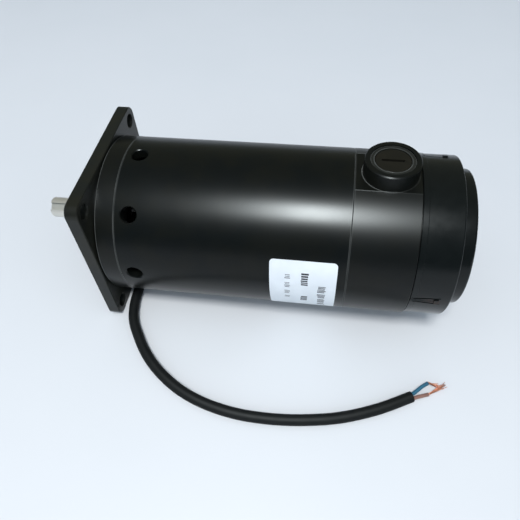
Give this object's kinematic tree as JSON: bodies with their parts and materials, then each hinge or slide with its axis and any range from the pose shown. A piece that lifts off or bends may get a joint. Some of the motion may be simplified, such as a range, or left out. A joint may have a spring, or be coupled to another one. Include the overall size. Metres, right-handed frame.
{
  "type": "brushed dc motor",
  "caption": "Permanent magnet brushed DC motor with a square flange, keyed shaft, drilled steel yoke, capped brush bosses, clipped rear cover and a cable tail.",
  "frame": {"origin": "on the shaft axis, at the square flange's mounting face", "axes": "+X along the shaft from the flange to the rear cover, so the drive end points to -X; +Z along the two brush caps, upwards; +Y away from the cable tail"},
  "size_m": [0.2769, 0.1698, 0.121],
  "materials": {
    "cast_black": "satin black paint over a cast shell",
    "painted_steel": "satin black paint over steel tube",
    "cover_plastic": "satin to glossy black moulding",
    "plated_steel": "zinc plated",
    "ground_steel": "ground and polished",
    "bearing_steel": "lapped",
    "spring_steel": "bright spring steel",
    "lamination_steel": "turned stack of sheets",
    "winding_copper": "enamelled copper wire",
    "hard_copper": "turned copper",
    "bare_copper": "bright stranded copper",
    "holder_brass": "pressed brass",
    "carbon_brush": "pressed carbon, dull",
    "ferrite": "ground ferrite",
    "moulded_resin": "moulded phenolic resin",
    "cap_bakelite": "black-brown phenolic, slightly glossy",
    "insulation_card": "pressed insulation sheet",
    "fan_plastic": "moulded polyamide",
    "cage_polyamide": "natural polyamide",
    "seal_rubber": "matte black rubber",
    "cable_jacket": "matte black flexible jacket",
    "filler_pvc": "chalky inner sheath",
    "blue_pvc": "blue insulation",
    "brown_pvc": "brown insulation",
    "label_film": "white printed film"
  },
  "bodies": {
    "stator": {"brush_bell": "cast_black", "brush_button_bottom": "holder_brass", "brush_button_top": "holder_brass", "brush_holder_bottom": "holder_brass", "brush_holder_top": "holder_brass", "brush_pigtail_bottom": "bare_copper", "brush_pigtail_top": "bare_copper", "brush_sleeve_bottom": "moulded_resin", "brush_sleeve_top": "moulded_resin", "brush_spring_bottom": "spring_steel", "brush_spring_top": "spring_steel", "cable_filler": "filler_pvc", "cable_grommet": "seal_rubber", "flange_screws": "plated_steel", "front_bearing_outer_ring": "bearing_steel", "front_bearing_shields": "spring_steel", "front_bell": "cast_black", "front_flange": "cast_black", "lead_blue": "blue_pvc", "lead_brown": "brown_pvc", "magnet_far": "ferrite", "magnet_near": "ferrite", "power_cable": "cable_jacket", "preload_washer": "spring_steel", "rear_bearing_outer_ring": "bearing_steel", "rear_bearing_shields": "spring_steel", "rear_cover": "cover_plastic", "shaft_seal": "seal_rubber", "strands_blue": "bare_copper", "strands_brown": "bare_copper", "through_bolts": "plated_steel", "type_label": "label_film", "wire_blue": "blue_pvc", "wire_brown": "brown_pvc", "yoke_tube": "painted_steel"},
    "rotor": {"shaft": "ground_steel", "shaft_circlip": "spring_steel", "armature_core": "lamination_steel", "core_end_discs": "insulation_card", "armature_winding": "winding_copper", "slot_wedges": "insulation_card", "commutator_hub": "moulded_resin", "commutator_bars": "hard_copper", "cooling_fan": "fan_plastic", "front_bearing_inner_ring": "bearing_steel", "rear_bearing_inner_ring": "bearing_steel"},
    "front_cage": {"front_bearing_cage": "cage_polyamide", "front_bearing_balls": "bearing_steel"},
    "rear_cage": {"rear_bearing_cage": "cage_polyamide", "rear_bearing_balls": "bearing_steel"},
    "brush_top_block": {"brush_top": "carbon_brush"},
    "brush_bottom_block": {"brush_bottom": "carbon_brush"},
    "cap_seal_top_ring": {"cap_seal_top": "seal_rubber"},
    "cap_seal_bottom_ring": {"cap_seal_bottom": "seal_rubber"},
    "cap_top": {"brush_cap_top": "cap_bakelite"},
    "cap_bottom": {"brush_cap_bottom": "cap_bakelite"}
  },
  "joints": [
    {"name": "rotor_spin", "type": "hinge", "parent": "stator", "child": "rotor", "pos_m": [0, 0, 0], "axis": [1, 0, 0], "continuous": true},
    {"name": "front_cage_spin", "type": "hinge", "parent": "stator", "child": "front_cage", "pos_m": [0.012, 0, 0], "axis": [1, 0, 0], "continuous": true},
    {"name": "rear_cage_spin", "type": "hinge", "parent": "stator", "child": "rear_cage", "pos_m": [0.202, 0, 0], "axis": [1, 0, 0], "continuous": true},
    {"name": "brush_top_slide", "type": "slide", "parent": "stator", "child": "brush_top_block", "axis": [0, 0, 1], "range_m": [0, 0.004], "stiffness_N_per_m": 300, "springref_m": -0.004, "deforming": ["brush_spring_top", "brush_pigtail_top"]},
    {"name": "brush_bottom_slide", "type": "slide", "parent": "stator", "child": "brush_bottom_block", "axis": [0, 0, -1], "range_m": [0, 0.004], "stiffness_N_per_m": 300, "springref_m": -0.004, "deforming": ["brush_spring_bottom", "brush_pigtail_bottom"]},
    {"name": "cap_top_lift", "type": "slide", "parent": "stator", "child": "cap_seal_top_ring", "axis": [0, 0, 1], "range_m": [0, 0.009]},
    {"name": "cap_top_turn", "type": "hinge", "parent": "cap_seal_top_ring", "child": "cap_top", "pos_m": [0.1815, 0, 0.05], "axis": [0, 0, 1], "range_deg": [0, 2161]},
    {"name": "cap_bottom_lift", "type": "slide", "parent": "stator", "child": "cap_seal_bottom_ring", "axis": [0, 0, -1], "range_m": [0, 0.009]},
    {"name": "cap_bottom_turn", "type": "hinge", "parent": "cap_seal_bottom_ring", "child": "cap_bottom", "pos_m": [0.1815, 0, -0.05], "axis": [0, 0, -1], "range_deg": [0, 2161]}
  ],
  "couplings": [
    {"joint": "front_cage_spin", "follows": "rotor_spin", "ratio": 0.3816},
    {"joint": "rear_cage_spin", "follows": "rotor_spin", "ratio": 0.36545},
    {"joint": "cap_top_turn", "follows": "cap_top_lift", "rad_per_m": 4188.8},
    {"joint": "cap_bottom_turn", "follows": "cap_bottom_lift", "rad_per_m": 4188.8}
  ]
}
